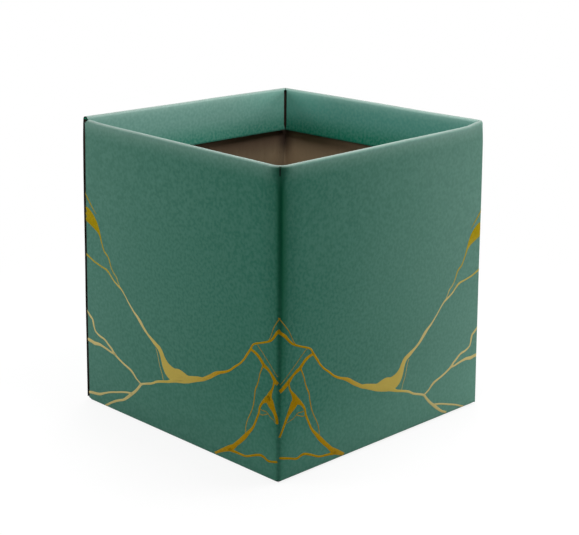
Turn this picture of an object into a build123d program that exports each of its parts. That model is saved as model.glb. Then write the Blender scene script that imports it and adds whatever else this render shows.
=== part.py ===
from build123d import *
import math
import os

# Square cachepot folded from one die-cut sheet of micro-fluted board.
# The sheet runs round four walls, closes on a glue tab inside one corner, turns
# over at the rim into four flaps that lie inside the mouth, and folds under the
# foot into a glued lock bottom.
# Frame: origin at the middle of the foot, +Z up, walls across X and Y.
# The seam is at the corner of the -X and -Y walls.

# Driving dimensions, in millimetres
side = 130.0
height = 135.0
board = 1.2
fold_inner = 0.6

# Turned-in rim: inner radius of the tight roll, depth of the flaps below the rim, how
# far a free edge stands in from the rim's own width, and the room between the corners
# of two flaps
rim_inner = 0.1
flap_depth = 22.0
flap_lean = 0.85
flap_clearance = 0.1

# Die-cut slit between two flaps, at the top of each corner fold
slit_width = 0.5
slit_depth = 3.2

# Glue tab inside the seam corner, the turn in degrees at which the sheet is cut above
# and below the tab, and the set-back of the sheet's other end
tab_width = 14.0
tab_taper = 4.0
tab_foot = 12.0
tab_flap_gap = 1.5
seam_turn = 60.0
seam_setback = 0.8

# Lock bottom: two lock flaps below, two glued flaps on top of them
bottom_setback = 2.0
seam_step = 10.0
seam_slope = 26.0
seam_gap = 0.4
glue_flap_depth = 46.0
glue_flap_reach = 10.0
glue_flap_shoulder = 4.0
corner_round = 3.0
crease_width = 1.2
crease_depth = 0.3

# One overrun for all cuts
overrun = 5.0

# Derived sizes
half = side / 2
fold_outer = fold_inner + board
rim_outer = rim_inner + board
roll_height = height - rim_outer
lean_angle = math.atan2(flap_lean, flap_depth - rim_outer)
flap_length = (flap_depth - rim_outer + rim_inner * math.sin(lean_angle)) / math.cos(lean_angle)
flap_reach = rim_outer + rim_outer * math.cos(lean_angle) + flap_length * math.sin(lean_angle)
flap_setback = flap_reach + flap_clearance
bend_width = side - 2 * bottom_setback
seam_fold = (-half + board + fold_outer, -half + fold_outer)

# The walls in order round the foot, as quarter turns from the -Y wall, and the
# height at which each wall's bottom flap lies
wall_turns = (0, 1, 2, 3)
flap_floor = {0: 0, 1: board, 2: 0, 3: board}

# Plane across a wall: X inward from the wall's outer face, Y up the wall
wall_section = Plane(origin=(0, -half, 0), x_dir=(0, 1, 0), z_dir=(1, 0, 0))


def turned(shape, turn):
    """Place something made for the -Y wall on the wall that is this many quarter turns on."""
    return Rot(0, 0, turn * 90) * shape


def box_between(low, high):
    """Box from its lowest corner to its highest corner."""
    size = [b - a for a, b in zip(low, high)]
    middle = [(a + b) / 2 for a, b in zip(low, high)]
    return Pos(*middle) * Box(*size)


def board_arc(centre, inner, start, sweep):
    """Section of a fold: the board bent about a centre, from one angle through a sweep."""
    line = CenterArc(centre, inner + board / 2, start, sweep)
    return trace(line, line_width=board)


def run_along_wall(section, width):
    """A section across the -Y wall, run along the middle of that wall."""
    placed = wall_section * section
    return extrude(placed, amount=width / 2, both=True)


def sleeve():
    """The four walls as one run of board: from the sheet's end at the seam, round three
    corner folds, to the cut edge in the fold at the seam."""
    middle = half - board / 2
    path = FilletPolyline(
        (-middle, -half + seam_setback),
        (-middle, middle),
        (middle, middle),
        (middle, -middle),
        (seam_fold[0], -middle),
        radius=fold_inner + board / 2,
    )
    section = trace(path, line_width=board) + board_arc(seam_fold, fold_inner, 270 - seam_turn, seam_turn)
    walls = extrude(Pos(0, 0, board) * section, amount=roll_height - board)
    for turn in wall_turns:
        floor = flap_floor[turn]
        opening = box_between(
            (-bend_width / 2, -half - overrun, floor - overrun),
            (bend_width / 2, -half + board + overrun, floor + fold_outer),
        )
        walls -= turned(opening, turn)
    return walls


def glue_tab():
    """Tapered tab flat against the inside of the -X wall, with the last of the seam fold."""
    foot = tab_foot
    top = height - flap_depth - tab_flap_gap
    fold_end = -half + fold_outer
    free_edge = fold_end + tab_width
    outline = Polygon(
        (fold_end, foot),
        (free_edge, foot + tab_taper),
        (free_edge, top - tab_taper),
        (fold_end, top),
        align=None,
    )
    inner_face = Plane(origin=(-half + board, 0, 0), x_dir=(0, 1, 0), z_dir=(1, 0, 0))
    tab = extrude(inner_face * outline, amount=board)
    fold = Pos(0, 0, foot) * board_arc(seam_fold, fold_inner, 180, 90 - seam_turn)
    return tab + extrude(fold, amount=top - foot)


def mitre_wedge():
    """Prism over the -Y wall, bounded by the two diagonals of the foot."""
    outer = half + overrun
    plan = Polygon((0, 0), (-outer, -outer), (outer, -outer), align=None)
    return extrude(Pos(0, 0, roll_height) * plan, amount=rim_outer + overrun)


def turned_rim(wedge, plan_edge):
    """Rolled edge along the top of the -Y wall, mitred at the corners, with the flap that
    hangs from it inside the mouth."""
    centre = Vector(rim_outer, roll_height)
    lean = math.degrees(lean_angle)
    roll = run_along_wall(board_arc(centre, rim_inner, lean, 180 - lean), side)
    roll = roll & wedge & plan_edge
    across = Vector(math.cos(lean_angle), math.sin(lean_angle))
    along = Vector(math.sin(lean_angle), -math.cos(lean_angle))
    root = centre + across * (rim_inner + board / 2)
    tip = root + along * flap_length
    flap = run_along_wall(trace(Line(root, tip), line_width=board), side - 2 * flap_setback)
    return roll + flap


def bottom_bend(floor):
    """Fold from the foot of the -Y wall to its bottom flap."""
    arc = board_arc((fold_outer, floor + fold_outer), fold_inner, 180, 90)
    return run_along_wall(arc, bend_width)


def lock_flap():
    """Bottom flap of the -Y wall. Its stepped edge meets that of the flap opposite."""
    edge = half - bottom_setback
    root = -half + fold_outer
    high = seam_step - seam_gap / 2
    low = -seam_step - seam_gap / 2
    outline = Polygon(
        (-edge, root),
        (edge, root),
        (edge, low),
        (seam_slope, low),
        (-seam_slope, high),
        (-edge, high),
        align=None,
    )
    outline = fillet(outline.vertices().sort_by(Axis.Y)[2:], corner_round)
    return extrude(outline, amount=board)


def glue_flap():
    """Bottom flap of the -Y wall that lies on a lock flap, with its slanting crease. The
    three-cornered end beyond the crease is the glued one."""
    edge = half - bottom_setback
    root = -half + fold_outer
    tip = root + glue_flap_depth
    outline = Polygon(
        (-edge, root),
        (edge, root),
        (edge, tip),
        (-glue_flap_reach, tip),
        (-edge, root + glue_flap_shoulder),
        align=None,
    )
    rounded = outline.vertices().sort_by(Axis.Y)[2:]
    flap = extrude(Pos(0, 0, board) * fillet(rounded, corner_round), amount=board)
    crease = Line((edge, root), (edge - glue_flap_depth, tip))
    groove = trace(crease, line_width=crease_width)
    return flap - extrude(Pos(0, 0, 2 * board - crease_depth) * groove, amount=board)


def corner_slit():
    """Cut down the corner fold at the right-hand end of the -Y wall."""
    reach = math.sqrt(2) * flap_setback
    foot = height - slit_depth
    cut = box_between(
        (-reach, -slit_width / 2, foot),
        (overrun, slit_width / 2, height + overrun),
    )
    return Pos(half, -half, 0) * Rot(0, 0, -45) * cut


def folded_carton():
    """The whole sheet, folded and glued."""
    wedge = mitre_wedge()
    plan_edge = extrude(RectangleRounded(side, side, fold_outer), amount=height)
    rim = turned_rim(wedge, plan_edge)
    carton = sleeve() + glue_tab()
    for turn in wall_turns:
        carton += turned(rim, turn)
        carton += turned(bottom_bend(flap_floor[turn]), turn)
        flap = glue_flap() if flap_floor[turn] else lock_flap()
        carton += turned(flap, turn)
    for turn in wall_turns:
        carton -= turned(corner_slit(), turn)
    return carton


os.makedirs("parts", exist_ok=True)
export_step(folded_carton(), "parts/folded_carton.step")
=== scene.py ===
import math

import bpy
from mathutils import Matrix, Vector


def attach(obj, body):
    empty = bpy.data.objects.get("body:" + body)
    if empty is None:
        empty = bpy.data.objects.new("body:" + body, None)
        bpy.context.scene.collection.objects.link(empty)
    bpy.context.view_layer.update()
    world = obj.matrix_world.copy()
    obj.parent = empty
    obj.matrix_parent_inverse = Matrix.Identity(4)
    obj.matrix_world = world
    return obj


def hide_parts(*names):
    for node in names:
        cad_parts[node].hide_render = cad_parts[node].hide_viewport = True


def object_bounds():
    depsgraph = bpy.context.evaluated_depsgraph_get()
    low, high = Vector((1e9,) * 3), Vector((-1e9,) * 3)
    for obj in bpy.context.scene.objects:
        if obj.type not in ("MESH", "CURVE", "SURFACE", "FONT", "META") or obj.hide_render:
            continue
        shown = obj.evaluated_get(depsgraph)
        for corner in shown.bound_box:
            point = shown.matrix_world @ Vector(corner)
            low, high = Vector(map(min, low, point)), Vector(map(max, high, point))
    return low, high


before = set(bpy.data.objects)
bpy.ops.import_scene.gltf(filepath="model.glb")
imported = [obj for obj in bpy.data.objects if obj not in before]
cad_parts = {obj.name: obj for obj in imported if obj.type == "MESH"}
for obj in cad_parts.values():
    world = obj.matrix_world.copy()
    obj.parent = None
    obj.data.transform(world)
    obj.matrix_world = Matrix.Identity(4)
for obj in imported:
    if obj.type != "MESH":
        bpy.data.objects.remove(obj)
cad_low, cad_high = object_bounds()

# Sizes of the box, in metres. Its width and height are those of the frame, rounded to a
# hundredth of a millimetre.
MM = 0.001
SIDE = round(cad_high[0] - cad_low[0], 5)
HEIGHT = round(cad_high[2] - cad_low[2], 5)
BOARD = 1.2 * MM
LINER = 0.28 * MM
FOLD = 1.8 * MM
RIM = 1.3 * MM
RIM_CORNER = 2.6 * MM
FLAP_DEPTH = 21.1 * MM
FLAP_LEAN = math.atan2(0.85, 20.7)
FLAP_SETBACK = 3.5 * MM
FLAP_SLANT = 0.75 * MM
SLIT_HALF = 0.4 * MM
SLIT_DEPTH = 3.2 * MM
SEAM_SETBACK = 0.8 * MM
TAB_WIDTH = 14 * MM
TAB_CORNER = 1 * MM
TAB_FOOT = 12 * MM
TAB_TOP = 111.5 * MM
TAB_TAPER = 4 * MM
BEND_HALF = 63 * MM
FOOT_LIFT = 0.15 * MM
SMOOTH_BELOW = math.radians(42)

# Bottom flaps: the lock flaps step from short to long across a sloping middle, and the
# glued flaps fall away from their full depth beyond their reach. All narrow over a mitre.
LOCK_SHORT = 53 * MM
LOCK_STEP = 20 * MM
LOCK_SLOPE = 26 * MM
GLUE_DEPTH = 46 * MM
GLUE_FALL = 42 * MM
GLUE_REACH = 10 * MM
MITRE = 10 * MM
SHORT_MITRE = 4.5 * MM

# Lengths on the flat sheet, measured on its printed face. Columns run round the
# box from the seam, and the middle of wall k is at middle_of(k).
RIGHT_ANGLE = math.pi / 2
FLAT = SIDE - 2 * FOLD
QUARTER = FOLD * RIGHT_ANGLE
PERIOD = FLAT + QUARTER
HALF_PERIOD = PERIOD / 2
ROLL_START = HEIGHT - RIM
ROLL_TURN = math.pi - FLAP_LEAN
ROLL_LENGTH = RIM * ROLL_TURN
FLAP_LENGTH = (FLAP_DEPTH - RIM) / math.cos(FLAP_LEAN)


def middle_of(wall):
    """Column of the middle of a wall on the flat sheet."""
    return wall * PERIOD + FLAT / 2


def lift_of(wall):
    """Height at which the bottom fold of a wall stands."""
    return FOOT_LIFT * (1 - wall % 2)


def clip(share):
    """A number held between 0 and 1."""
    return min(max(share, 0), 1)


def ink(red, green, blue):
    """A colour as it is seen, from 0 to 255, for a shader's socket."""
    tones = [tone / 255 for tone in (red, green, blue)]
    return [t / 12.92 if t <= 0.04045 else ((t + 0.055) / 1.055) ** 2.4 for t in tones] + [1]


class Wire:
    """A socket of a node tree. Arithmetic on it adds Math nodes to the tree."""

    def __init__(self, socket):
        self.socket = socket
        self.tree = socket.id_data

    def make(self, kind, settings, values, out=0):
        """Add a node: its settings first, then the values or links of its sockets."""
        node = self.tree.nodes.new(kind)
        for name, setting in settings.items():
            setattr(node, name, setting)
        for name, value in values.items():
            if isinstance(value, Wire):
                self.tree.links.new(value.socket, node.inputs[name])
            else:
                node.inputs[name].default_value = value
        return Wire(node.outputs[out])

    def beside(self, name):
        """Another output of the same node."""
        return Wire(self.socket.node.outputs[name])

    def maths(self, operation, first, second=0.0):
        return self.make("ShaderNodeMath", {"operation": operation}, {0: first, 1: second})

    def __add__(self, other):
        return self.maths("ADD", self, other)

    __radd__ = __add__

    def __sub__(self, other):
        return self.maths("SUBTRACT", self, other)

    def __rsub__(self, other):
        return self.maths("SUBTRACT", other, self)

    def __mul__(self, other):
        return self.maths("MULTIPLY", self, other)

    __rmul__ = __mul__

    def __truediv__(self, other):
        return self.maths("DIVIDE", self, other)

    def __rtruediv__(self, other):
        return self.maths("DIVIDE", other, self)

    def __mod__(self, other):
        return self.maths("MODULO", self, other)

    def __rmod__(self, other):
        return self.maths("MODULO", other, self)

    def least(self, other):
        return self.maths("MINIMUM", self, other)

    def most(self, other):
        return self.maths("MAXIMUM", self, other)

    def clip(self):
        """This value held between 0 and 1."""
        return self.most(0).least(1)

    def under(self, other):
        return self.maths("LESS_THAN", self, other)

    def over(self, other):
        return self.maths("GREATER_THAN", self, other)

    def whole(self):
        return self.maths("FLOOR", self)

    def size(self):
        return self.maths("ABSOLUTE", self)

    def sign(self):
        return self.maths("SIGN", self)

    def sine(self):
        return self.maths("SINE", self)

    def cosine(self):
        return self.maths("COSINE", self)

    def step(self, low, high):
        """Smooth rise from 0 at one value to 1 at another."""
        settings = {"interpolation_type": "SMOOTHSTEP"}
        values = {"Value": self, "From Min": low, "From Max": high, "To Min": 0.0, "To Max": 1.0}
        return self.make("ShaderNodeMapRange", settings, values)

    def blend(self, first, second):
        """Two colours mixed by this value."""
        settings = {"data_type": "RGBA", "clamp_factor": True}
        node = self.make("ShaderNodeMix", settings, {0: self}).socket.node
        for socket, value in ((node.inputs[6], first), (node.inputs[7], second)):
            if isinstance(value, Wire):
                self.tree.links.new(value.socket, socket)
            else:
                socket.default_value = value
        return Wire(node.outputs[2])


# The fold rule: takes the flat sheet, with columns along X, rows along Y and the
# board's thickness below Z, and folds it into the box

FOLD_SIZES = {
    "Wall width": SIDE,
    "Height": HEIGHT,
    "Board": BOARD,
    "Fold radius": FOLD,
    "Rim radius": RIM,
    "Rim corner radius": RIM_CORNER,
    "Front corner opening": 3.4 * MM,
    "Rim rounding height": 9 * MM,
    "Slit pinch": 0.75 * MM,
    "Slit depth": SLIT_DEPTH,
    "Flap lean": FLAP_LEAN,
    "Flap loosening turn": 1.75,
    "Flap loose turn": 2.8,
    "Foot lift": FOOT_LIFT,
    "Bend half width": BEND_HALF + 0.1 * MM,
    "Wall bow": 0.35 * MM,
    "Belly": 0.0015,
    "Corner tuck": 0.003,
    "Foot flare": 0.0106,
    "Rim height at seam": 1.5 * MM,
    "Rim fall to back": 2.25 * MM,
    "Rim rise to side": 2.2 * MM,
    "Rim step at side": 1.45 * MM,
    "Rim rise at tab": 0.5 * MM,
    "Rim rise at front": 0.15 * MM,
    "Hand wobble": 0.4 * MM,
    "Wobbles per metre": 22.0,
}


def new_tree(name, sizes):
    """Geometry tree with a geometry going in and out, and a named input for each size."""
    tree = bpy.data.node_groups.new(name, "GeometryNodeTree")
    tree.interface.new_socket("Geometry", in_out="OUTPUT", socket_type="NodeSocketGeometry")
    tree.interface.new_socket("Geometry", in_out="INPUT", socket_type="NodeSocketGeometry")
    for label, size in sizes.items():
        socket = tree.interface.new_socket(label, in_out="INPUT", socket_type="NodeSocketFloat")
        socket.default_value = size
    start = tree.nodes.new("NodeGroupInput")
    end = tree.nodes.new("NodeGroupOutput")
    return tree, start, end


def fold_rule():
    """Group that folds a flat sheet into the box."""
    tree, start, end = new_tree("Fold the sheet", FOLD_SIZES)
    size = {label: Wire(start.outputs[label]) for label in FOLD_SIZES}
    width, height, board = size["Wall width"], size["Height"], size["Board"]
    fold, rim = size["Fold radius"], size["Rim radius"]
    flat_place = Wire(tree.nodes.new("GeometryNodeInputPosition").outputs[0])
    column = flat_place.make("ShaderNodeSeparateXYZ", {}, {0: flat_place})
    row = column.beside("Y")
    inset = 0 - column.beside("Z")

    # which wall, and the place across it
    flat = width - fold * 2
    quarter = fold * RIGHT_ANGLE
    period = flat + quarter
    half_period = period * 0.5
    wall = ((column - flat * 0.5) / period + 0.5).whole().most(0).least(3)
    across = column - wall * period - flat * 0.5
    reach = across.size()
    tab_end = wall.over(2.5) * across.over(0)
    cut_end = wall.under(0.5) * across.under(0)
    side_corner = period * 2 - quarter * 0.5
    from_front = (column - period * 3 + quarter * 0.5).size()

    # rim above, bend and bottom flap below
    roll_start = height - rim
    roll_turn = math.pi - size["Flap lean"]
    roll = ((row - roll_start) / rim).most(0).least(roll_turn)
    hang = (row - roll_start - rim * roll_turn).most(0)
    on_top = 1 - wall % 2
    bend_start = size["Foot lift"] * on_top + fold
    bends = reach.under(size["Bend half width"] - board * tab_end)
    below = (bend_start - row).most(0) * bends
    bend = (below / fold).least(RIGHT_ANGLE)
    under = (below - quarter).most(0)
    ring = fold - inset
    rim_ring = rim - inset
    depth = fold - ring * bend.cosine() + under * bend.sine()
    depth = depth + rim - rim_ring * roll.cosine() + hang * roll.sine() - inset
    up = row.most(bend_start * bends).least(roll_start)
    up = up + rim_ring * roll.sine() - ring * bend.sine()
    up = up + hang * roll.cosine() - under * bend.cosine()
    up = up + (board - size["Foot lift"]) * on_top * under.step(1 * MM, 9 * MM)

    # walls that bow outward in the middle
    rise = ((row - bend_start) / (roll_start - bend_start)).clip()
    from_middle = (reach / half_period * RIGHT_ANGLE).least(RIGHT_ANGLE)
    depth = depth - size["Wall bow"] * (rise * math.pi).sine() * from_middle.cosine()

    # a rim that stands a little higher at the side corners and the front one than at the back
    to_side = ((column - period) / (side_corner - period)).clip()
    tilt = size["Rim height at seam"] - size["Rim fall to back"] * (column / period).clip()
    tilt = tilt + size["Rim rise to side"] * to_side
    tilt = tilt - size["Rim step at side"] * column.step(side_corner - 1 * MM, side_corner + 13 * MM)
    tilt = tilt + size["Rim rise at tab"] * column.step(period * 4 - 16 * MM, period * 4)
    tilt = tilt + size["Rim rise at front"] * (1 - from_front.step(10 * MM, 40 * MM))
    up = up + tilt * row.step(85 * MM, 131 * MM)

    # corner folds, which open out towards the rim, the front one most
    opening = size["Front corner opening"] * (1 - from_front.step(6 * MM, 30 * MM))
    opened = size["Rim corner radius"] + opening
    corner = row.step(roll_start - size["Rim rounding height"], roll_start)
    corner = fold + (opened - fold) * corner
    half_arc = corner * (math.pi / 4)
    straight = (width * 0.5 - corner) * (reach / (half_period - half_arc)).least(1)
    spare = (half_arc - half_period + reach).most(0)

    # slits pinched shut, and flaps that leave the corner's curve as the rim rolls over
    loosened = roll.step(size["Flap loosening turn"], size["Flap loose turn"])
    wrap = (1 - loosened) * (1 - cut_end)
    pinch = 1 - (half_period - reach).step(0.0, 0.6 * MM)
    pinch = pinch * row.step(height - size["Slit depth"], roll_start) * (1 - roll.step(0.3, 1.0))
    depth = depth + size["Slit pinch"] * pinch
    turn = spare / corner * wrap
    loose = spare * (1 - wrap)
    ring = corner - depth
    along = (straight + ring * turn.sine() + loose * turn.cosine()) * across.sign()
    inward = corner - ring * turn.cosine() + loose * turn.sine()

    # the fold at the seam, which carries the glue tab
    seam_place = across + flat * 0.5
    seam_flat = flat - board
    seam_turn = ((seam_place - seam_flat) / fold).most(0).least(RIGHT_ANGLE)
    tail = (seam_place - seam_flat - quarter).most(0)
    ring = fold - depth
    seam_along = seam_place.least(seam_flat) - flat * 0.5
    seam_along = seam_along + ring * seam_turn.sine() + tail * seam_turn.cosine()
    seam_inward = fold - ring * seam_turn.cosine() + tail * seam_turn.sine()
    along = along * (1 - tab_end) + seam_along * tab_end
    inward = inward * (1 - tab_end) + seam_inward * tab_end

    # set up round the middle of the foot, with a slight belly and a flared foot
    by_corner = (1 - ((column - side_corner) / period).size()).most(0)
    half_way = ((up / height).clip() * math.pi).sine()
    belly = (size["Belly"] - size["Corner tuck"] * by_corner) * half_way
    belly = belly + 1 + size["Foot flare"] * (1 - up / height * 2)
    local = {0: (inward - width * 0.5) * belly, 1: along * belly, 2: up}
    folded = column.make("ShaderNodeCombineXYZ", {}, local)
    turned = {"Vector": folded, "Angle": wall * -RIGHT_ANGLE}
    folded = column.make("ShaderNodeVectorRotate", {"rotation_type": "Z_AXIS"}, turned)

    # hand wobble, none at the foot
    sheet_place = column.make("ShaderNodeCombineXYZ", {}, {0: column, 1: row, 2: 0.0})
    values = {"Vector": sheet_place, "Scale": size["Wobbles per metre"], "Detail": 1.0}
    noise = column.make("ShaderNodeTexNoise", {}, values, "Color")
    values = {0: noise, 1: (0.5, 0.5, 0.5)}
    centred = column.make("ShaderNodeVectorMath", {"operation": "SUBTRACT"}, values)
    values = {0: centred, "Scale": size["Hand wobble"] * up.step(0.0, 20 * MM)}
    wobble = column.make("ShaderNodeVectorMath", {"operation": "SCALE"}, values)
    folded = column.make("ShaderNodeVectorMath", {"operation": "ADD"}, {0: folded, 1: wobble})

    settings = {"data_type": "FLOAT_VECTOR", "domain": "POINT"}
    values = {"Geometry": Wire(start.outputs["Geometry"]), "Name": "sheet_place", "Value": flat_place}
    kept = column.make("GeometryNodeStoreNamedAttribute", settings, values)
    placed = column.make("GeometryNodeSetPosition", {}, {"Geometry": kept, "Position": folded})
    tree.links.new(placed.socket, end.inputs[0])
    return tree


FOLD_RULE = fold_rule()


def fold_in(start, geometry):
    """Fold a geometry with the fold rule inside another tree that has the same sizes."""
    values = {label: Wire(start.outputs[label]) for label in FOLD_SIZES}
    values["Geometry"] = geometry
    return geometry.make("GeometryNodeGroup", {"node_tree": FOLD_RULE}, values)


def grown(name, mesh, tree, sizes):
    """Plain mesh object from a flat mesh and a tree."""
    flat = bpy.data.objects.new(name + "_flat", mesh)
    bpy.context.scene.collection.objects.link(flat)
    modifier = flat.modifiers.new("fold", "NODES")
    modifier.node_group = tree
    for item in tree.interface.items_tree:
        if item.in_out == "INPUT" and item.name in sizes:
            modifier[item.identifier] = sizes[item.name]
    graph = bpy.context.evaluated_depsgraph_get()
    made = bpy.data.meshes.new_from_object(flat.evaluated_get(graph), depsgraph=graph)
    made.name = name
    flat.modifiers.remove(modifier)
    bpy.data.objects.remove(flat)
    piece = bpy.data.objects.new(name, made)
    bpy.context.scene.collection.objects.link(piece)
    made.shade_smooth()
    made.set_sharp_from_angle(angle=SMOOTH_BELOW)
    return piece


class Blank:
    """The die-cut sheet, flat: cells between columns and rows, solid or hollow between liners."""

    levels = (0.0, LINER, BOARD - LINER, BOARD)

    def __init__(self):
        self.places = []
        self.index = {}
        self.cells = []

    def point(self, place):
        """Number of a corner. Places less than a micrometre apart are one corner."""
        key = (round(place[0] * 1e6), round(place[1] * 1e6))
        if key not in self.index:
            self.index[key] = len(self.places)
            self.places.append(place)
        return self.index[key]

    def patch(self, grid, hollow=False):
        """Add the cells of a grid, given as rows of places from the top down."""
        rows = [[self.point(place) for place in row] for row in grid]
        for upper, lower in zip(rows, rows[1:]):
            for j in range(len(upper) - 1):
                corners = (upper[j], upper[j + 1], lower[j + 1], lower[j])
                if len(set(corners)) == 4:
                    self.cells.append((corners, hollow))

    def mesh(self, name):
        """Closed mesh of the sheet. Layer 0 is the print, 1 the bare liner and 2 the cut edges."""
        vertices, number = [], {}
        faces, layers = [], []

        def vertex(corner, level):
            key = (corner, level)
            if key not in number:
                number[key] = len(vertices)
                column, row = self.places[corner]
                vertices.append((column, row, -self.levels[level]))
            return number[key]

        def face(corners, layer):
            faces.append([vertex(*corner) for corner in corners])
            layers.append(layer)

        split = {corner for corners, hollow in self.cells if hollow for corner in corners}
        edges = {}
        for corners, hollow in self.cells:
            face([(c, 0) for c in corners], 0)
            face([(c, 3) for c in reversed(corners)], 1)
            if hollow:
                face([(c, 1) for c in reversed(corners)], 2)
                face([(c, 2) for c in corners], 2)
            for a, b in zip(corners, corners[1:] + corners[:1]):
                edges.setdefault((a, b), hollow)
        for (a, b), hollow in edges.items():
            facing = edges.get((b, a))
            if facing is None and hollow:
                spans = ((0, 1), (2, 3))
            elif facing is None:
                spans = ((0, 3),)
            elif hollow is False and facing is True:
                spans = ((1, 2),)
            else:
                spans = ()
            for top, low in spans:
                levels = range(top, low + 1)
                down = [(a, level) for level in levels if level in (top, low) or a in split]
                back = [(b, level) for level in reversed(levels) if level in (top, low) or b in split]
                face(down + back, 2)
        mesh = bpy.data.meshes.new(name)
        mesh.from_pydata(vertices, [], faces)
        layer = mesh.attributes.new("layer", "INT", "FACE")
        layer.data.foreach_set("value", layers)
        mesh.update()
        return mesh


def spread(start, end, count):
    """Even places from start to end, both kept."""
    return [start + (end - start) * i / count for i in range(count + 1)]


# Columns of the sheet, from the middle of a wall, and those in a fold, from its middle
ARC_START = FLAT / 2
NEAR_FOLD = [60.2 * MM, 61.2 * MM, 62.2 * MM, BEND_HALF]
IN_FOLD = [1.08 * MM, 0.74 * MM, SLIT_HALF]
IN_SLIT = [SLIT_HALF, 0.2 * MM, 0.0]
CUT_EDGE = HALF_PERIOD - (SEAM_SETBACK - FOLD * (1 - math.pi / 4))
SEAM_FLAT = ARC_START - BOARD
SEAM_CUT = [SEAM_FLAT + FOLD * math.radians(turn) for turn in (0, 15, 30, 45, 60)]
TAB_TURN = [SEAM_FLAT + FOLD * math.radians(turn) for turn in (60, 75, 90)]

# Rows of the sheet: the walls from the top down, then the rim and its flap as they roll over
LOW_ROW = 3 * MM
WALL_ROWS = [LOW_ROW, 6 * MM] + spread(TAB_FOOT, TAB_FOOT + TAB_TAPER, 1)
WALL_ROWS += spread(22 * MM, 101 * MM, 14) + spread(TAB_TOP - TAB_TAPER, TAB_TOP, 1)
WALL_ROWS += spread(116 * MM, 128 * MM, 4) + [130 * MM, HEIGHT - SLIT_DEPTH]
WALL_ROWS.reverse()
STRIP_FEET = (BOARD, 0.8 * MM, BOARD, BOARD)
ROLL_ROWS = [ROLL_START + ROLL_LENGTH * i / 18 for i in range(19)]
FLAP_ROWS = [ROLL_ROWS[-1] + FLAP_LENGTH * share for share in (0.1, 0.3, 0.5, 0.7, 0.86, 0.93, 1)]

# Side edges of the turned-in flaps: the turn of the rim at which they begin to draw back and
# the sweep it takes, and the share of the flap's length at which it is narrowest
FLAP_GAP = FLAP_SETBACK - RIM_CORNER * (1 - math.pi / 4)
GAP_TURN = 1.76
GAP_SWEEP = 1.2
NARROWEST = 0.86


class WallPlan:
    """Columns of one wall, from its middle: the inner ones and those of the folds at both ends."""

    def __init__(self, wall):
        self.wall = wall
        self.middle = middle_of(wall)
        breaks = [-LOCK_SLOPE, LOCK_SLOPE] if wall % 2 else [GLUE_REACH]
        inner = sorted(set(spread(-NEAR_FOLD[0], NEAR_FOLD[0], 20) + breaks))
        left = [-place for place in reversed(NEAR_FOLD[1:])]
        right = NEAR_FOLD[1:]
        self.left_end = [-HALF_PERIOD + place for place in reversed(IN_FOLD)] + [-ARC_START]
        self.right_end = [ARC_START] + [HALF_PERIOD - place for place in IN_FOLD]
        if wall == 0:
            self.left_end = [-CUT_EDGE, -ARC_START]
        if wall == 3:
            inner = [c for c in inner if c < 57 * MM] + [57 * MM]
            right = [58.5 * MM, 60.2 * MM, 61 * MM, BEND_HALF - BOARD]
            self.right_end = SEAM_CUT
        self.inner = left + inner + right

    def grid(self, across, rows):
        """Places on the sheet at these columns and rows."""
        return [[(self.middle + c, row) for c in across] for row in rows]


def lay_wall(blank, plan):
    """A wall up to the rim. The sheet's cut end is hollow between its liners."""
    columns = plan.left_end + plan.inner + plan.right_end
    rows = ROLL_ROWS[:1] + WALL_ROWS
    hollow_count = 4 if plan.wall == 0 else 0
    blank.patch(plan.grid(columns[hollow_count:], rows))
    blank.patch(plan.grid(columns[:hollow_count + 1], rows), hollow=True)


def lay_corner(blank, plan):
    """The fold after a wall, to half-way over the rim, and the feet of the strips at the folds."""
    foot_rows = [LOW_ROW, FOLD, STRIP_FEET[plan.wall]]
    if plan.wall < 3:
        fold = [HALF_PERIOD - place for place in IN_SLIT]
        fold += [HALF_PERIOD + place for place in IN_SLIT[1::-1]]
        blank.patch(plan.grid(fold, ROLL_ROWS[10::-1] + WALL_ROWS))
        next_wall = [HALF_PERIOD + place for place in reversed(IN_FOLD)] + [PERIOD - ARC_START]
        strip = [BEND_HALF] + plan.right_end + fold[1:-1] + next_wall + [PERIOD - BEND_HALF]
        blank.patch(plan.grid(strip, foot_rows))
    if plan.wall == 0:
        blank.patch(plan.grid(plan.left_end + [-BEND_HALF], foot_rows), hollow=True)
    if plan.wall == 3:
        blank.patch(plan.grid([plan.inner[-1]] + plan.right_end, foot_rows))


def bottom_length(wall, place):
    """Length of a wall's bottom flap at a place across the wall."""
    if wall % 2:
        return LOCK_SHORT + LOCK_STEP * clip((place + LOCK_SLOPE) / (2 * LOCK_SLOPE))
    return GLUE_DEPTH - GLUE_FALL * clip((place - GLUE_REACH) / (BEND_HALF - GLUE_REACH))


def lay_bottom(blank, plan):
    """The bend under a wall's foot and its bottom flap, which is mitred near its fold."""
    bend_start = lift_of(plan.wall) + FOLD
    bend_rows = [LOW_ROW] + spread(bend_start, bend_start - QUARTER, 6)
    blank.patch(plan.grid(plan.inner, bend_rows))
    grid = []
    for share in (0, 0.03, 0.06, 0.1, 0.15, 0.2, 0.35, 0.5, 0.65, 0.82, 1):
        row = []
        for c in plan.inner:
            down = bottom_length(plan.wall, c) * share
            mitre = SHORT_MITRE if plan.wall % 2 and c < 0 else MITRE
            narrow = 1 - min(down, mitre) / BEND_HALF
            row.append((plan.middle + c * narrow, bend_rows[-1] - down))
        grid.append(row)
    blank.patch(grid)


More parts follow.
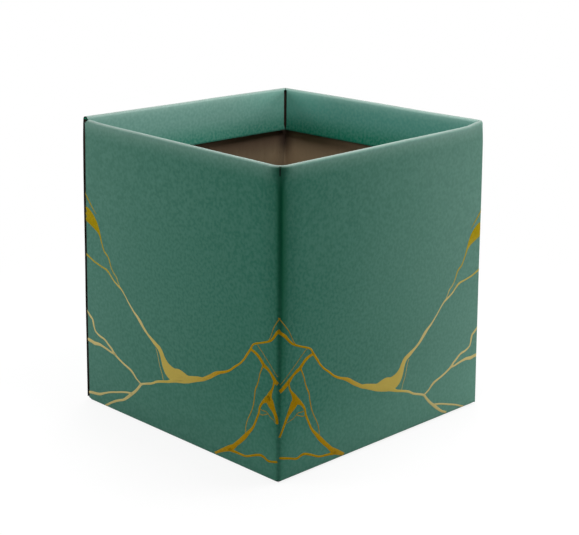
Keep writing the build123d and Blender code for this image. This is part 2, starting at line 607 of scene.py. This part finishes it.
def lay_rim(blank, plan):
    """The rolled rim of a wall and the flap that hangs from it."""
    columns = plan.left_end + plan.inner
    if plan.wall < 3:
        columns += plan.right_end
    grid = []
    for row in ROLL_ROWS + FLAP_ROWS:
        turn = min((row - ROLL_START) / RIM, math.pi)
        down = max(row - ROLL_ROWS[-1], 0) / FLAP_LENGTH
        gap = SLIT_HALF + (FLAP_GAP - SLIT_HALF) * clip((turn - GAP_TURN) / GAP_SWEEP)
        gap += FLAP_SLANT * min(down / NARROWEST, (1 - down) / (1 - NARROWEST))
        low = -HALF_PERIOD + gap
        high = HALF_PERIOD - gap
        if plan.wall == 0:
            low = -CUT_EDGE + 0.7 * MM * turn / math.pi + 2.0 * MM * min(down / 0.3, 1)
        if plan.wall == 3:
            high = plan.inner[-1] - BOARD * min(turn / RIGHT_ANGLE, 1)
        share = (high - low) / (columns[-1] - columns[0])
        grid.append([(plan.middle + low + (c - columns[0]) * share, row) for c in columns])
    blank.patch(grid[::-1])


def lay_tab(blank, plan):
    """The glue tab beyond the seam fold, tapered at both ends."""
    rows = [row for row in WALL_ROWS if TAB_FOOT <= row <= TAB_TOP]
    blank.patch(plan.grid(TAB_TURN, rows))
    grid = []
    for row in rows:
        reach = TAB_CORNER if row in (TAB_FOOT, TAB_TOP) else TAB_WIDTH
        grid.append([(plan.middle + TAB_TURN[-1] + reach * share, row) for share in spread(0, 1, 4)])
    blank.patch(grid)


def die_cut_sheet():
    """The whole sheet, laid out flat wall by wall from its cut end to the tab."""
    blank = Blank()
    for wall in range(4):
        plan = WallPlan(wall)
        lay_wall(blank, plan)
        lay_corner(blank, plan)
        lay_bottom(blank, plan)
        lay_rim(blank, plan)
    lay_tab(blank, plan)
    return blank.mesh("die_cut_sheet")


def paint(name):
    """New material: its shader node, and Object coordinates to begin from."""
    material = bpy.data.materials.new(name)
    material.use_nodes = True
    shader = material.node_tree.nodes["Principled BSDF"]
    start = Wire(material.node_tree.nodes.new("ShaderNodeTexCoord").outputs["Object"])
    return material, shader, start


def feed(shader, **sockets):
    """Link or set sockets of a shader, with underscores for spaces in their names."""
    for name, value in sockets.items():
        socket = shader.inputs[name.replace("_", " ")]
        if isinstance(value, Wire):
            value.tree.links.new(value.socket, socket)
        else:
            socket.default_value = value


def grain(start, scale, detail, stretch=(1, 1, 1)):
    """Noise over the piece, from 0 to 1."""
    vector = start.make("ShaderNodeMapping", {}, {"Vector": start, "Scale": stretch})
    return start.make("ShaderNodeTexNoise", {}, {"Vector": vector, "Scale": scale, "Detail": detail})


def bumps(start, height, strength, distance):
    """Normal of a surface with small bumps."""
    values = {"Strength": strength, "Distance": distance, "Height": height}
    return start.make("ShaderNodeBump", {}, values)


def sheet_column(start):
    """Column on the flat sheet, with the row at Y and the depth at Z beside it."""
    settings = {"attribute_type": "GEOMETRY", "attribute_name": "sheet_place"}
    place = start.make("ShaderNodeAttribute", settings, {}, "Vector")
    return start.make("ShaderNodeSeparateXYZ", {}, {0: place})


def gap_to_fold(column):
    """Distance along the sheet from the front fold or the back one."""
    turns = (column + QUARTER / 2) / (2 * PERIOD)
    return (turns % 1.0 - 0.5).size() * (2 * PERIOD)


def from_wall(column, wall):
    """0 before a wall and 1 from there on, with a soft change at the fold."""
    return column.step(wall * PERIOD - QUARTER, wall * PERIOD)


def printed_green():
    """The printed side: green with a paper grain, with painted light and shade on the walls, flaps and
    folds and a painted highlight on the rim.
    """
    material, shader, start = paint("printed_green")
    column = sheet_column(start)
    row = column.beside("Y")
    fold_gap = gap_to_fold(column)
    cloud = grain(start, 30.0, 2.0)
    tooth = grain(start, 1500.0, 2.0)
    weave = grain(start, 750.0, 2.0)

    # walls: painted shade towards the front fold, a painted sheen towards their outer ends, stronger on
    # the right-hand wall, and painted light at the foot
    share = fold_gap / PERIOD + (cloud - 0.5) * 0.2
    right_wall = from_wall(column, 2) * (1 - from_wall(column, 3))
    left_wall_light_and_shade = share.blend(ink(38, 90, 74), ink(61, 100, 87))
    right_wall_light_and_shade = share.blend(ink(38, 91, 75), ink(75, 109, 97))
    colour = right_wall.blend(left_wall_light_and_shade, right_wall_light_and_shade)
    # painted light low on the walls
    foot = (1 - row.step(2 * MM, 40 * MM)) * (1 - share * (1 - right_wall)).most(0)
    colour = (foot * 0.3).blend(colour, ink(84, 128, 112))

    # turned-in flaps: painted light, paler above and lightest near the folds and on the first wall's
    # flap, and painted shade, deeper green below
    flap_share = ((row - ROLL_START - 2 * RIM) / FLAP_LENGTH).clip()
    turned_in = row.step(ROLL_START + RIM, ROLL_START + 3 * RIM)
    outside = 1 - turned_in
    first_wall = 1 - from_wall(column, 1)
    upper = first_wall.blend(ink(67, 123, 111), ink(98, 140, 129))
    upper = ((1 - fold_gap.step(0.0, 45 * MM)) * 0.3).blend(upper, ink(114, 188, 172))
    lower = first_wall.blend(ink(0, 98, 74), ink(46, 119, 100))
    colour = turned_in.blend(colour, flap_share.step(0.42, 1.1).blend(upper, lower))

    # paper grain
    thread = (turned_in * first_wall).blend(ink(118, 158, 146), ink(146, 186, 174))
    colour = (weave.step(0.3, 0.7) * (0.12 + 0.07 * turned_in)).blend(colour, thread)
    colour = (tooth.step(0.35, 0.75) * 0.09).blend(colour, ink(18, 60, 46))

    # painted shade along the free edges of the flaps
    flap_end = ROLL_START + ROLL_LENGTH + FLAP_LENGTH
    colour = (row.step(flap_end - 1.2 * MM, flap_end) * 0.5).blend(colour, ink(6, 40, 28))

    # painted shade by the fold, which sways a little, darkest on the crease and at the corner's top, and
    # painted shade in the slit at its top
    by_rim = row.step(122 * MM, 131 * MM)
    sway = 0.3 * MM + 0.9 * MM * row.step(10 * MM, 70 * MM)
    sway = sway - 0.4 * MM * row.step(85 * MM, 115 * MM) - 0.5 * MM * by_rim
    crease_gap = gap_to_fold(column + sway)
    fading = (0.3 + 0.7 * row.step(10 * MM, 110 * MM)) * outside
    near_fold = (1 - crease_gap.step(0.0, 14 * MM)) * fading
    colour = (near_fold * 0.33).blend(colour, ink(4, 60, 42))
    crease_shade = (1 - crease_gap / (4 * MM - 1.6 * MM * by_rim)).most(0)
    colour = (crease_shade * fading * (1 - 0.25 * by_rim)).blend(colour, ink(4, 66, 44))
    corner_top_shade = (1 - crease_gap.step(1 * MM, 7 * MM)) * by_rim * outside
    colour = (corner_top_shade * 0.08).blend(colour, ink(2, 64, 46))
    # painted shade in the slit, which the geometry pinches shut
    slit_shade = (1 - fold_gap.step(0.15 * MM, 0.5 * MM)) * row.step(130.6 * MM, 131.4 * MM)
    slit_shade = slit_shade * (1 - row.step(133.5 * MM, 134.2 * MM))
    colour = slit_shade.blend(colour, ink(6, 22, 15))

    # painted shade on the seam fold, where it turns away from the light
    seam = middle_of(3) + SEAM_FLAT
    colour = column.step(seam + 0.05 * FOLD, seam + 0.3 * FOLD).blend(colour, ink(6, 10, 8))

    # painted highlight on the rim: a pale sheen round its crest and a brighter grey highlight on the
    # crest itself
    crest_gap = (row - ROLL_START - 2 * MM).size()
    crest_sheen = (1 - crest_gap.step(1.5 * MM, 9 * MM)) * 0.1
    crest_sheen = crest_sheen + (1 - crest_gap.step(0.5 * MM, 4.5 * MM)) * (0.07 + 0.1 * turned_in)
    colour = (crest_sheen * (1 - 0.85 * corner_top_shade)).blend(colour, ink(168, 192, 184))
    # painted highlight along the crest
    crest_highlight = row.step(ROLL_START + 0.3 * MM, ROLL_START + 1.7 * MM)
    crest_highlight = crest_highlight * (1 - row.step(ROLL_START + 2.4 * MM, ROLL_START + 4.4 * MM))
    colour = (crest_highlight * (0.4 + 0.5 * cloud)).blend(colour, ink(136, 146, 141))

    normal = bumps(start, tooth + weave, 0.12, 0.2 * MM)
    feed(shader, Base_Color=colour, Roughness=0.5 + tooth * 0.12, Specular_IOR_Level=0.02, Normal=normal)
    return material


def kraft_liner():
    """The bare inner side: brown kraft, with painted shade low down, under the flaps and in the back
    corner, and painted light on the back wall.
    """
    material, shader, start = paint("kraft_liner")
    column = sheet_column(start)
    row = column.beside("Y")
    fold_gap = gap_to_fold(column)
    cloud = grain(start, 60.0, 4.0)
    fibre = grain(start, 500.0, 4.0, (1.0, 1.0, 0.25))
    fleck = grain(start, 900.0, 1.0, (1.0, 1.0, 0.5))

    # brown with upright fibres and dark flecks
    colour = cloud.step(0.3, 0.7).blend(ink(128, 111, 89), ink(141, 123, 98))
    colour = (fibre.step(0.4, 0.8) * 0.4).blend(colour, ink(116, 98, 76))
    colour = (fleck.step(0.68, 0.76) * 0.3).blend(colour, ink(84, 68, 54))

    # painted shade low down, and painted light on the back wall, which is lighter than the others
    colour = ((1 - row.step(78 * MM, 107 * MM)) * 0.8).blend(colour, ink(86, 71, 56))
    back_wall = from_wall(column, 1) * (1 - from_wall(column, 2))
    colour = (back_wall * row.step(20 * MM, 70 * MM) * 0.5).blend(colour, ink(172, 146, 116))

    # shade under the flaps and in the corner
    high = row.step(99 * MM, 110 * MM) * (0.68 - 0.36 * back_wall)
    colour = high.blend(colour, ink(74, 54, 46))
    corner = (1 - fold_gap.step(0.0, 9 * MM)) * (0.2 + 0.7 * row.step(96 * MM, 108 * MM))
    colour = corner.blend(colour, ink(46, 36, 31))
    colour = (row.step(111.5 * MM, 113.5 * MM) * 0.4 * back_wall).blend(colour, ink(10, 10, 8))

    normal = bumps(start, fibre, 0.2, 0.2 * MM)
    feed(shader, Base_Color=colour, Roughness=0.82 + fibre * 0.12, Specular_IOR_Level=0.1, Normal=normal)
    return material


def cut_edge_brown():
    """The cut edges: near black, dark flute hollows with painted shade over the whole edge, with a green
    run of print round the rolled rim.
    """
    material, shader, start = paint("cut_edge_brown")
    column = sheet_column(start)
    row = column.beside("Y")
    depth = column.beside("Z")
    fibre = grain(start, 1400.0, 3.0, (1.0, 1.0, 0.3))
    # near black: the flute hollows are dark, and painted shade darkens the whole edge
    colour = fibre.step(0.3, 0.7).blend(ink(8, 10, 8), ink(24, 23, 19))
    rolled = row.step(ROLL_START, ROLL_START + 0.6 * MM) * (1 - depth.step(-0.7 * MM, -0.4 * MM))
    colour = rolled.blend(colour, ink(16, 104, 76))
    feed(shader, Base_Color=colour, Roughness=0.85 + fibre * 0.1, Specular_IOR_Level=0.1)
    return material


def gold_ink():
    """Gold print, deep by the fold and high on the walls, paler between."""
    material, shader, start = paint("gold_ink")
    column = sheet_column(start)
    row = column.beside("Y")
    fold_gap = gap_to_fold(column)
    speck = grain(start, 1500.0, 2.0)
    middle = fold_gap.step(28 * MM, 60 * MM)

    # paler from the fold along the wall, deeper again higher up, with bright specks
    colour = fold_gap.step(4 * MM, 24 * MM).blend(ink(130, 100, 0), ink(145, 111, 8))
    colour = middle.blend(colour, ink(157, 140, 68))
    colour = fold_gap.step(70 * MM, 90 * MM).blend(colour, ink(163, 150, 101))
    colour = row.step(54 * MM, 70 * MM).blend(colour, middle.blend(colour, ink(134, 120, 38)))
    colour = row.step(76 * MM, 86 * MM).blend(colour, ink(126, 109, 3))
    colour = (speck.step(0.4, 0.7) * 0.08).blend(colour, ink(190, 164, 80))

    normal = bumps(start, speck, 0.1, 0.1 * MM)
    feed(shader, Base_Color=colour, Metallic=0.2, Roughness=0.45 + speck * 0.14)
    feed(shader, Specular_IOR_Level=0.0, Normal=normal)
    return material


PRINT = printed_green()
KRAFT = kraft_liner()
EDGE = cut_edge_brown()
GOLD = gold_ink()


def painted(geometry, material, layer=None):
    """Set a material, on one layer of the sheet or all over."""
    values = {"Geometry": geometry, "Material": material}
    if layer is not None:
        named = geometry.make("GeometryNodeInputNamedAttribute", {"data_type": "INT"}, {"Name": "layer"})
        chosen = {"data_type": "INT", "operation": "EQUAL"}
        values["Selection"] = geometry.make("FunctionNodeCompare", chosen, {2: named, 3: layer})
    return geometry.make("GeometryNodeSetMaterial", {}, values)


def carton():
    """The folded sheet."""
    tree, start, end = new_tree("Folded carton", FOLD_SIZES)
    folded = fold_in(start, Wire(start.outputs["Geometry"]))
    whole = folded.make("GeometryNodeRealizeInstances", {}, {"Geometry": folded})
    for layer, material in enumerate((PRINT, KRAFT, EDGE)):
        whole = painted(whole, material, layer)
    tree.links.new(whole.socket, end.inputs[0])
    return grown("carton_board", die_cut_sheet(), tree, FOLD_SIZES)


# Gold veins of the print, as (place from the front fold, height, width) in millimetres

VEINS = {
    "upper": [
        (0, 65.7, 1.5), (1, 65, 1.5), (2, 63.9, 1.4), (4, 61.8, 1.2), (6, 60.3, 1.0), (10, 58.6, 0.9),
        (15, 56.8, 0.9), (16.5, 55.6, 0.9), (17.2, 54.3, 1.2), (18.5, 52.4, 1.2), (20, 50.4, 1.2),
        (21.5, 48.2, 1.0), (24, 45.6, 0.9), (27, 43.4, 1.0), (30, 41, 1.0), (33, 39.4, 1.2),
        (36, 38.3, 1.4), (39, 37, 1.8), (42, 35, 1.9), (45, 33.3, 1.8), (47.5, 32, 1.8), (50, 31.4, 2.3),
        (54, 30.2, 2.9), (57, 29.3, 3.5), (60, 29.2, 5.2), (63, 29.2, 6.4), (66, 28.7, 6.4),
        (68.5, 29, 6.6), (70.5, 30, 6.2), (72.2, 31.6, 5.0), (73.8, 34, 3.4), (75, 36.4, 2.7),
        (76.5, 38.4, 2.4), (78.5, 39.6, 2.1), (80, 40.4, 2.0), (82, 41.6, 1.5), (84, 42.8, 1.2),
        (86, 44.2, 1.3), (88, 46, 1.5), (90, 48, 1.7), (92, 49.7, 1.3), (94, 51.1, 1.0), (96, 52.9, 0.8),
        (98, 54.8, 0.7), (100, 57, 0.6), (102, 59, 0.7), (103.5, 60.2, 0.9), (105, 60.9, 1.0),
        (107, 61.9, 0.8), (109, 63.1, 0.8), (111, 64.9, 0.9), (113, 66.4, 1.1), (115, 67.1, 0.9),
        (117.5, 67.5, 0.7), (120, 68.1, 0.8), (123, 68.8, 0.8), (126, 70, 0.9), (128, 70.8, 1.1),
        (130, 71.2, 1.1),
    ],
    "upper_thread": [
        (0, 70.8, 0.4), (2, 68.4, 0.4), (3.5, 66.4, 0.4), (4.7, 64, 0.35), (5.8, 61.8, 0.4),
        (7, 60.1, 0.4),
    ],
    "rising": [
        (104, 60.6, 0.4), (105.5, 63, 0.5), (106.5, 64.8, 0.6), (108.5, 66.4, 0.6), (110, 68.2, 0.6),
        (111, 70.2, 0.7), (112, 72.4, 0.8), (113.5, 74, 0.8), (115, 75, 0.8), (116, 76.4, 0.8),
        (116.7, 78, 0.8), (117.6, 80.2, 0.9), (118.4, 82.5, 1.2), (119.6, 84.6, 2.2), (121.2, 86.4, 3.8),
        (123.2, 88.2, 5.2), (125.5, 89.8, 6.1), (128, 91, 6.8), (130, 91.6, 7.2),
    ],
    "rising_echo": [
        (121, 92.5, 0.3), (122, 93.3, 0.4), (123.5, 94.8, 0.6), (125, 96.3, 0.7), (127, 98.4, 0.8),
        (128.5, 100, 0.8), (130, 101.5, 0.8),
    ],
    "pool_thread": [
        (79, 38, 0.35), (77.8, 35.5, 0.35), (77, 32.5, 0.35), (76, 29.5, 0.35), (74.8, 27, 0.35),
        (74, 24.2, 0.35),
    ],
    "falling": [
        (61, 28.4, 3.6), (64, 27.6, 3.4), (66.5, 26.6, 2.8), (68.6, 25.4, 1.8), (70.5, 24.5, 1.2),
        (73, 23.8, 1.1), (76, 23, 1.1), (79, 22, 1.1), (81, 20.9, 1.0), (83, 20, 1.0), (86, 19.1, 1.0),
        (88.5, 18.3, 1.0), (90, 17.6, 1.2), (91, 16.4, 1.2), (93, 14.2, 1.3), (95, 12.4, 1.3),
        (97, 10.9, 1.5), (100, 8.5, 1.4), (103, 6.5, 1.1), (106, 5.4, 1.1), (109, 4.1, 1.1),
        (112, 2.5, 1.0), (115, 0.7, 1.0), (117, -0.5, 1.0), (119, -2, 0.9),
    ],
    "low_branch": [
        (89.8, 17.8, 0.8), (92, 18.9, 0.8), (93.5, 19.8, 0.9), (95, 21.2, 1.1), (97, 22.5, 1.2),
        (99.5, 23.4, 1.0), (102, 24.2, 1.0), (105, 25.4, 1.0), (107.5, 26.6, 1.1), (109.5, 27.8, 1.3),
        (111, 29.3, 1.1), (113, 30.5, 1.1), (115, 31.9, 1.0), (117, 32.8, 1.0), (119, 33.1, 1.0),
        (121, 33.8, 0.9), (123, 35, 0.9), (123.9, 36.8, 1.0), (124.4, 38.6, 1.2), (125, 40.2, 1.1),
        (126.5, 41.3, 1.2), (128.5, 42.9, 1.0), (130, 43.8, 1.0),
    ],
    "low_level": [
        (108, 26.9, 0.9), (109.5, 27.3, 0.9), (112, 27.6, 0.9), (114, 28.1, 1.0), (117, 28.7, 1.1),
        (120, 29.1, 1.4), (122.5, 28.9, 1.6), (124, 28.8, 1.7), (126, 29.2, 1.6), (128, 29.4, 1.7),
        (130, 29.5, 1.7),
    ],
    "foot_branch": [
        (96.5, 11.4, 0.9), (99.5, 11, 0.9), (102, 10.5, 0.8), (105, 9.7, 0.8), (108, 8.8, 0.8),
        (111, 8, 0.8), (114, 7, 0.8), (117, 5.8, 0.9), (119, 4.9, 1.1), (121, 4.2, 1.3), (124, 3.7, 1.3),
        (127, 3.4, 1.3), (130, 2.7, 1.3),
    ],
    "front_bar": [
        (17.6, 53.8, 1.4), (15, 53, 1.5), (13, 52, 1.6), (11, 50.3, 1.6), (9.5, 48.8, 1.8),
        (7.5, 47.9, 1.6), (5.5, 46.6, 1.5), (3.5, 44.9, 1.8), (2, 43.6, 2.1), (0, 42.3, 1.8),
    ],
    "front_bar_echo": [
        (14, 57, 0.35), (12, 55.5, 0.35), (10, 53.8, 0.35), (8, 52, 0.35), (6, 50.3, 0.3),
        (4, 48.6, 0.3), (2, 47, 0.3), (0, 45.5, 0.3),
    ],
    "front_pool": [
        (2.8, 44.2, 1.2), (3.1, 42.4, 1.1), (3.6, 40.6, 1.1), (4.6, 39, 1.4), (5.5, 37.6, 2.0),
        (6.1, 36.2, 3.0), (6.2, 34.8, 4.3), (5.4, 33.4, 4.2), (4, 31.8, 3.2), (2.6, 30.2, 2.2),
        (1.2, 28.2, 1.6), (0, 26, 1.0),
    ],
    "front_drop": [
        (5.6, 35.6, 3.0), (7.2, 34.6, 3.2), (8.6, 33.7, 2.2), (10, 32.6, 1.5), (11.2, 31, 1.3),
        (12, 29.3, 1.2), (12.3, 27.3, 1.2), (13.2, 25.2, 1.2), (14.2, 23, 1.2), (15.4, 20.5, 1.2),
        (16.8, 18.5, 1.4), (18.6, 16.6, 1.6), (20.3, 14.6, 2.0), (22, 12.8, 2.1), (24, 10.8, 2.0),
        (26, 9, 1.9), (28, 7, 2.2), (30, 5.6, 2.8), (32, 4.6, 2.4), (34, 3.6, 1.9), (36, 2.5, 1.6),
        (38, 1.3, 1.3), (40, 0.2, 1.2), (42, -1, 1.2), (44, -2.4, 1.1),
    ],
    "front_slope": [
        (9.6, 49.2, 1.0), (11, 46.5, 0.7), (12, 44, 0.6), (12.6, 41.5, 0.6), (13.6, 38.8, 0.7),
        (14.6, 36.6, 0.7), (15, 33.5, 0.6), (15.5, 30.5, 0.6), (16.2, 28, 0.5), (17.5, 25.2, 0.5),
        (18.7, 23, 0.45), (19.8, 20.5, 0.45), (20.3, 18.3, 0.4), (20.8, 14.6, 0.4),
    ],
    "pool_link": [
        (12, 29.2, 0.35), (10, 28.9, 0.35), (8, 29, 0.4), (6.6, 28.2, 0.4), (5, 27.2, 0.35),
        (3, 26.6, 0.3), (1, 26, 0.3),
    ],
    "pool_link_low": [
        (12.4, 27, 0.35), (10.5, 26.8, 0.35), (8.5, 27.6, 0.35), (7, 28.3, 0.35),
    ],
    "front_foot": [
        (0, 8.5, 1.2), (2, 8.2, 1.1), (4, 7.9, 1.0), (6, 7.6, 1.1), (7.5, 7.8, 1.2), (9, 8.5, 1.3),
        (11, 8.9, 1.3), (13, 8.4, 1.2), (15, 7.6, 1.1), (17, 6.7, 1.0), (19, 5.8, 1.0), (21, 5.2, 1.0),
        (24, 5, 1.1), (27, 4.9, 1.3), (29, 4.8, 1.6), (31, 4.9, 1.8),
    ],
}

# How far the print runs from the front or back fold on each wall, in millimetres, and the
# columns between which it lies on the sheet
PRINT_REACH = (129.1, 129.9, 130, 129.1)
SHEET_START = -0.95 * MM
SHEET_END = middle_of(3) + SEAM_FLAT + FOLD


def right_print(place, height):
    """Where a right-hand wall has a point of the print: a little turned, and higher by the fold."""
    at_foot = max(0, 1 - place / 7) * max(0, 1 - height / 12)
    near_fold = max(0, 1 - place / 30) * max(0, 1 - height / 14)
    far_end = clip((height - 45) / 20) * clip((place - 70) / 20)
    across = 3.45 + 0.984 * place - 0.022 * height + 0.4 * clip(4 - height / 10)
    across += far_end + clip((height - 76) / 8)
    up = 0.18 - 0.0375 * place + 0.998 * height
    up += 3.6 * at_foot + 1.8 * near_fold + 1.2 * far_end
    return across, up


def left_print(place, height):
    """Where a left-hand wall has a point of the print: a little lower by the fold."""
    near_fold = max(0, 1 - place / 30)
    low_down = max(0, 1 - height / 40) * min(place / 12, 1)
    across = 1.002 * place - 1.1 * min(place / 6, 1)
    up = 1.4 - 0.003 * place + 1.0138 * height
    up -= near_fold * (0.25 + 1.2 * low_down) + 0.5 * clip((height - 75) / 10)
    if 20 < height < 32:
        up -= 2.5 * max(0, 1 - place / 1.5)
    return across, up


def shown_on(wall, vein):
    """A vein as one wall has it, cut off at the ends of the print."""
    limit = PRINT_REACH[wall]
    line = []
    for place, height, width in vein:
        across, up = right_print(place, height) if wall in (1, 2) else left_print(place, height)
        bend = 0.00016 * height * height
        thin = width < 1.6 and place < 45
        line.append([across, up - bend, width * 0.9 if thin else width])

    # veins that end at a fold or at the far end run on to it
    fold_end = -0.4 if vein[0][1] > 60 else 0.4
    for end, beside in ((0, 1), (-1, -2)):
        edge = {0: fold_end, 130: limit}.get(vein[end][0])
        if edge is not None:
            (place, height, width), after = line[end], line[beside]
            slope = (after[1] - height) / (after[0] - place)
            line[end] = [edge, height + slope * (edge - place), width]
    return [point for point in line if -0.5 < point[0] <= limit and point[1] > 0.4]


def vein_lines():
    """Flat polylines of all veins on the four walls, with half the width kept at each point."""
    points, edges, widths = [], [], []
    scale = PERIOD / SIDE * MM
    for wall in range(4):
        fold_column = (3 if wall > 1 else 1) * PERIOD - QUARTER / 2
        away = scale if wall % 2 else -scale
        for vein in VEINS.values():
            first = len(points)
            for place, height, width in shown_on(wall, vein):
                points.append((fold_column + away * place, height * MM, 0))
                widths.append(width * MM / 2)
            edges += [(i, i + 1) for i in range(first, len(points) - 1)]
    mesh = bpy.data.meshes.new("vein_lines")
    mesh.from_pydata(points, edges, [])
    half_width = mesh.attributes.new("half_width", "FLOAT", "POINT")
    half_width.data.foreach_set("value", widths)
    return mesh


def gold_veins():
    """Raised gold lines that follow the printed face round the folds."""
    sizes = {**FOLD_SIZES, "Point spacing": 0.7 * MM, "Foil height": 0.05 * MM}
    tree, start, end = new_tree("Gold veins", sizes)

    # smooth curves, as thick at each point as the line is wide there
    lines = Wire(start.outputs["Geometry"])
    curve = lines.make("GeometryNodeMeshToCurve", {}, {0: lines})
    curve = lines.make("GeometryNodeCurveSplineType", {"spline_type": "CATMULL_ROM"}, {"Curve": curve})
    curve = lines.make("GeometryNodeSetSplineResolution", {}, {"Geometry": curve, "Resolution": 6})
    settings = {"data_type": "FLOAT"}
    half_width = lines.make("GeometryNodeInputNamedAttribute", settings, {"Name": "half_width"})
    curve = lines.make("GeometryNodeSetCurveRadius", {}, {"Curve": curve, "Radius": half_width})
    values = {"Curve": curve, "Length": Wire(start.outputs["Point spacing"])}
    curve = lines.make("GeometryNodeResampleCurve", {"mode": "LENGTH"}, values)
    ring = lines.make("GeometryNodeCurvePrimitiveCircle", {}, {"Resolution": 8, "Radius": 1.0})
    radius = lines.make("GeometryNodeInputRadius", {}, {})
    values = {"Curve": curve, "Profile Curve": ring, "Scale": radius, "Fill Caps": True}
    foil = lines.make("GeometryNodeCurveToMesh", {}, values)
    foil = lines.make("GeometryNodeFlipFaces", {}, {"Mesh": foil})

    # pressed flat to a foil, kept between the two ends of the sheet, and folded with it
    place = lines.make("GeometryNodeInputPosition", {}, {})
    column = lines.make("ShaderNodeSeparateXYZ", {}, {0: place})
    foil_height = Wire(start.outputs["Foil height"])
    lifted = column.beside("Z").least(foil_height).most(0 - foil_height)
    kept = column.most(SHEET_START).least(SHEET_END)
    pressed = lines.make("ShaderNodeCombineXYZ", {}, {0: kept, 1: column.beside("Y"), 2: lifted})
    foil = lines.make("GeometryNodeSetPosition", {}, {"Geometry": foil, "Position": pressed})
    foil = fold_in(start, foil)
    foil = lines.make("GeometryNodeRealizeInstances", {}, {"Geometry": foil})
    foil = painted(foil, GOLD)
    tree.links.new(foil.socket, end.inputs[0])
    return grown("gold_veins", vein_lines(), tree, sizes)


WHITE = (1, 1, 1, 1)


def white_floor():
    """Floor that shows white, with a faint shadow round the box."""
    reach, level = 3.0, -0.2 * MM
    corners = [(-reach, -reach), (reach, -reach), (reach, reach), (-reach, reach)]
    mesh = bpy.data.meshes.new("floor")
    mesh.from_pydata([(x, y, level) for x, y in corners], [], [(0, 1, 2, 3)])
    floor = bpy.data.objects.new("floor", mesh)
    bpy.context.scene.collection.objects.link(floor)
    material, shader, place = paint("white_floor")
    feed(shader, Base_Color=(0.88, 0.88, 0.88, 1), Roughness=0.9, Specular_IOR_Level=0.0)
    distance = place.make("ShaderNodeVectorMath", {"operation": "LENGTH"}, {0: place}, "Value")
    shadow = 0.12 * (1 - distance.step(120 * MM, 300 * MM))
    across = place.make("ShaderNodeSeparateXYZ", {}, {0: place})
    open_floor = across.size().most(across.beside("Y").size()).over(SIDE / 2 - 1 * MM)
    ray = place.make("ShaderNodeLightPath", {}, {}, "Is Camera Ray")
    seen = (ray + ray.beside("Is Glossy Ray") + ray.beside("Is Transmission Ray")).least(1)
    seen = seen * open_floor * (1 - shadow)
    glow = place.make("ShaderNodeEmission", {}, {"Color": WHITE, "Strength": 1.0})
    mixed = place.make("ShaderNodeMixShader", {}, {0: seen, 1: Wire(shader.outputs[0]), 2: glow})
    surface = material.node_tree.nodes["Material Output"].inputs["Surface"]
    material.node_tree.links.new(mixed.socket, surface)
    mesh.materials.append(material)


# Soft lights: name, place, the place each one points to, width and height in metres, and watts
LIGHTS = (
    ("left_light", (-0.36, -0.48, 0.22), (0, 0, 0.06), 0.3, 0.3, 2.3),
    ("right_light", (0.28, 0.34, 0.17), (0, 0, 0.06), 0.25, 0.3, 1.6),
    ("top_light", (-0.05, 0.05, 0.95), (0, 0, 0.07), 0.7, 0.7, 4.6),
    ("mouth_light", (0.055, -0.012, 0.31), (-0.02, 0.01, 0.1), 0.08, 0.08, 0.46),
    ("rim_light", (-0.75, 0.75, 0.75), (0, 0, 0.1), 0.9, 0.5, 8.0),
)


def soft_lights():
    """Light the walls from both sides, the mouth and floor from above, and the rim from behind."""
    for name, place, target, wide, high, watts in LIGHTS:
        lamp = bpy.data.lights.new(name, "AREA")
        lamp.shape = "RECTANGLE"
        lamp.size = wide
        lamp.size_y = high
        lamp.energy = watts
        thing = bpy.data.objects.new(name, lamp)
        bpy.context.scene.collection.objects.link(thing)
        aim = Vector(place) - Vector(target)
        thing.rotation_mode = "QUATERNION"
        thing.rotation_quaternion = aim.to_track_quat("Z", "Y")
        thing.location = place


def white_surround():
    """Surround that shows white and gives a little even light."""
    world = bpy.data.worlds.new("surround")
    bpy.context.scene.world = world
    world.use_nodes = True
    tree = world.node_tree
    background = tree.nodes["Background"]
    background.inputs["Color"].default_value = WHITE
    background.inputs["Strength"].default_value = 0.15
    ray = Wire(tree.nodes.new("ShaderNodeLightPath").outputs["Is Camera Ray"])
    white = ray.make("ShaderNodeBackground", {}, {"Color": WHITE, "Strength": 1.0})
    mixed = ray.make("ShaderNodeMixShader", {}, {0: ray, 1: Wire(background.outputs[0]), 2: white})
    tree.links.new(mixed.socket, tree.nodes["World Output"].inputs["Surface"])


# The camera: sensor and lens in millimetres, where it stands seen from the middle of the
# box, with the distance in metres, and the way it looks, with a slight roll
SENSOR = 36.0
LENS = 94.738
STAND_TURN, STAND_RISE, STAND_DISTANCE = math.radians(45.679), math.radians(16.887), 0.7057
LOOK_TURN, LOOK_RISE, LOOK_ROLL = math.radians(45.39), math.radians(16.981), math.radians(0.465)


def outward(turn, rise):
    """Direction that is turned about Z from the -Y side and raised from level."""
    level = math.cos(rise)
    return Vector((math.sin(turn) * level, -math.cos(turn) * level, math.sin(rise)))


def camera():
    """Camera at the photograph's place."""
    lens = bpy.data.cameras.new("camera")
    lens.sensor_width = SENSOR
    lens.lens = LENS
    lens.clip_start = 0.01
    lens.dof.use_dof = False
    thing = bpy.data.objects.new("camera", lens)
    bpy.context.scene.collection.objects.link(thing)
    place = outward(STAND_TURN, STAND_RISE) * STAND_DISTANCE
    place.z += HEIGHT / 2
    back = outward(LOOK_TURN, LOOK_RISE)
    right = Vector((math.cos(LOOK_TURN), math.sin(LOOK_TURN), 0))
    up = back.cross(right)
    tilted = right * math.cos(LOOK_ROLL) + up * math.sin(LOOK_ROLL)
    upright = back.cross(tilted)
    turn = Matrix((tilted, upright, back)).transposed().to_4x4()
    thing.matrix_world = Matrix.Translation(place) @ turn
    bpy.context.scene.camera = thing


board_piece = carton()
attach(board_piece, "root")
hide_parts("folded_carton")

vein_piece = gold_veins()
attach(vein_piece, "root")

white_floor()
soft_lights()
white_surround()
camera()
bpy.context.scene.view_settings.view_transform = "Standard"
